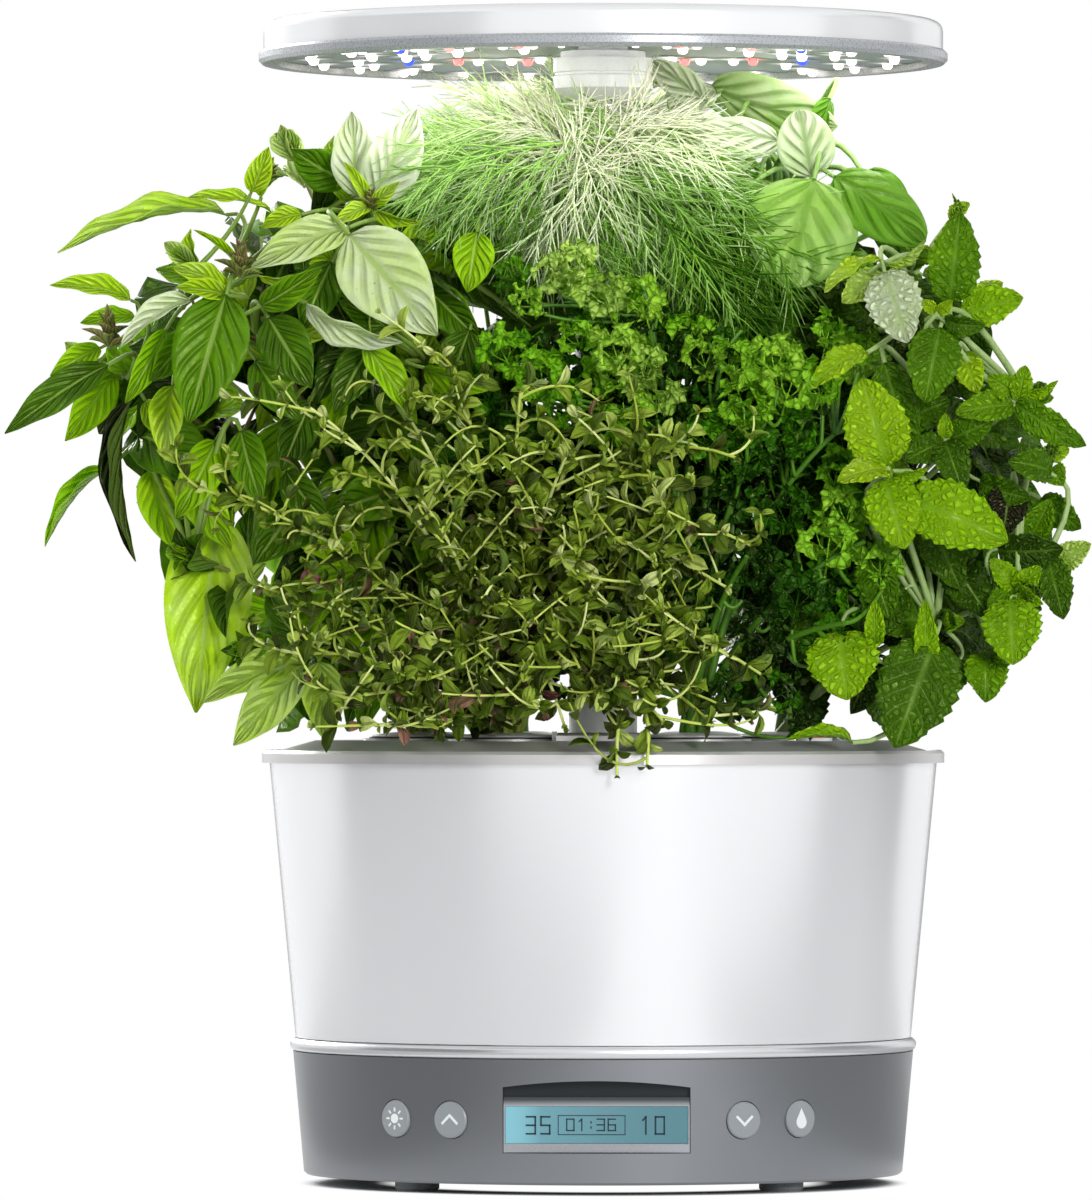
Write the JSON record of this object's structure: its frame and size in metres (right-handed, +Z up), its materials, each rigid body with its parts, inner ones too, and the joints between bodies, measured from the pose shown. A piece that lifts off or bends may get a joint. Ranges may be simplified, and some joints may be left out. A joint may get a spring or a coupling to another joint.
{
  "type": "countertop hydroponic garden",
  "caption": "Round countertop water garden: powered base with display and buttons, lift-off water bowl, planted grow deck with herb pods, and a telescoping mast with a disc grow light.",
  "frame": {"origin": "on the table, under the axis of the mast, at the level of the feet's soles", "axes": "+Z up along the mast, -Y towards the control panel's front, +X to the right seen from the front"},
  "size_m": [0.4341, 0.3027, 0.4641],
  "materials": {
    "housing": "satin grey moulded plastic",
    "floor": "matt grey moulded plastic",
    "rubber": "matt",
    "screw": "zinc plated",
    "trim": "pale grey, satin",
    "display_frame": "silver grey",
    "display_glass": "clear",
    "lcd": "lit liquid crystal panel",
    "circuit": "circuit board",
    "button": "satin grey",
    "black_plastic": "matt",
    "bowl": "glossy white",
    "steel": "ground",
    "white_plastic": "satin white",
    "deck": "pale grey, satin",
    "float": "orange foam float",
    "clear_tube": "translucent tube",
    "mast": "glossy white",
    "mast_metal": "satin anodised",
    "cable": "coiled lead",
    "hood": "glossy white",
    "hood_bezel": "pale grey, satin",
    "led_panel": "grey-blue painted board",
    "heat_plate": "plain",
    "led_white": "lit",
    "led_red": "lit",
    "led_blue": "lit",
    "basket": "matt dark net pot",
    "sponge": "wet peat sponge",
    "mint": "fresh crinkled leaves",
    "basil": "glossy domed leaves",
    "dill": "feathery threads",
    "thai_basil": "pointed leaves and dark buds",
    "thyme": "wiry stems with small grey-green leaves",
    "parsley": "curly dark green leaves"
  },
  "bodies": {
    "base": {"base_housing": "housing", "base_floor": "floor", "rubber_feet": "rubber", "floor_screws": "screw", "trim_ring": "trim", "display_bezel": "display_frame", "display_window": "display_glass", "lcd_module": "lcd", "control_board": "circuit", "button_boards": "circuit", "power_inlet": "black_plastic", "light_socket": "black_plastic", "pump_stator": "black_plastic"},
    "light_button": {"light_button": "button"},
    "up_button": {"up_button": "button"},
    "down_button": {"down_button": "button"},
    "feed_button": {"feed_button": "button"},
    "bowl": {"bowl": "bowl", "pump_cover": "black_plastic", "impeller_axle": "steel"},
    "impeller": {"pump_impeller": "white_plastic"},
    "deck": {"grow_deck": "deck", "lid_pin": "steel", "float_guide": "white_plastic", "riser_tube": "clear_tube", "drip_manifold": "white_plastic", "outer_mast": "mast", "mast_collar": "deck", "mast_plug": "black_plastic", "mast_cable": "cable", "grow_basket_2": "basket", "grow_sponge_2": "sponge", "basil_plant": "basil", "grow_basket_3": "basket", "grow_sponge_3": "sponge", "dill_plant": "dill", "grow_basket_4": "basket", "grow_sponge_4": "sponge", "thai_basil_plant": "thai_basil"},
    "lid": {"fill_lid": "deck"},
    "float": {"water_float": "float"},
    "hood": {"inner_mast": "mast_metal", "hood_shell": "hood", "hood_bezel": "hood_bezel", "hood_hub": "mast", "led_board": "led_panel", "heat_plate": "heat_plate", "white_leds": "led_white", "red_leds": "led_red", "blue_leds": "led_blue"},
    "pod_1": {"grow_basket_1": "basket", "grow_sponge_1": "sponge", "mint_plant": "mint"},
    "pod_5": {"grow_basket_5": "basket", "grow_sponge_5": "sponge", "thyme_plant": "thyme"},
    "pod_6": {"grow_basket_6": "basket", "grow_sponge_6": "sponge", "parsley_plant": "parsley"}
  },
  "joints": [
    {"name": "light_button_press", "type": "slide", "parent": "base", "child": "light_button", "axis": [0.6494, 0.7604, 0], "range_m": [0, 0.001], "stiffness_N_per_m": 400},
    {"name": "up_button_press", "type": "slide", "parent": "base", "child": "up_button", "axis": [0.4695, 0.8829, 0], "range_m": [0, 0.001], "stiffness_N_per_m": 400},
    {"name": "down_button_press", "type": "slide", "parent": "base", "child": "down_button", "axis": [-0.4695, 0.8829, 0], "range_m": [0, 0.001], "stiffness_N_per_m": 400},
    {"name": "feed_button_press", "type": "slide", "parent": "base", "child": "feed_button", "axis": [-0.6494, 0.7604, 0], "range_m": [0, 0.001], "stiffness_N_per_m": 400},
    {"name": "bowl_lift", "type": "slide", "parent": "base", "child": "bowl", "axis": [0, 0, 1], "range_m": [0, 0.06]},
    {"name": "pump_spin", "type": "hinge", "parent": "bowl", "child": "impeller", "pos_m": [0, 0.097, 0.06], "axis": [0, 0, 1], "continuous": true},
    {"name": "deck_lift", "type": "slide", "parent": "bowl", "child": "deck", "axis": [0, 0, 1], "range_m": [0, 0.08]},
    {"name": "lid_hinge", "type": "hinge", "parent": "deck", "child": "lid", "pos_m": [0, -0.0791, 0.1777], "axis": [-1, 0, 0], "range_deg": [0, 100]},
    {"name": "float_rise", "type": "slide", "parent": "deck", "child": "float", "axis": [0, 0, 1], "range_m": [0, 0.022]},
    {"name": "hood_height", "type": "slide", "parent": "deck", "child": "hood", "axis": [0, 0, 1], "range_m": [-0.15, 0], "deforming": ["mast_cable", "mint_plant", "basil_plant", "dill_plant", "thai_basil_plant", "thyme_plant", "parsley_plant"]},
    {"name": "pod_1_lift", "type": "slide", "parent": "deck", "child": "pod_1", "axis": [0, 0, 1], "range_m": [0, 0.04]},
    {"name": "pod_5_lift", "type": "slide", "parent": "deck", "child": "pod_5", "axis": [0, 0, 1], "range_m": [0, 0.04]},
    {"name": "pod_6_lift", "type": "slide", "parent": "deck", "child": "pod_6", "axis": [0, 0, 1], "range_m": [0, 0.04]}
  ]
}
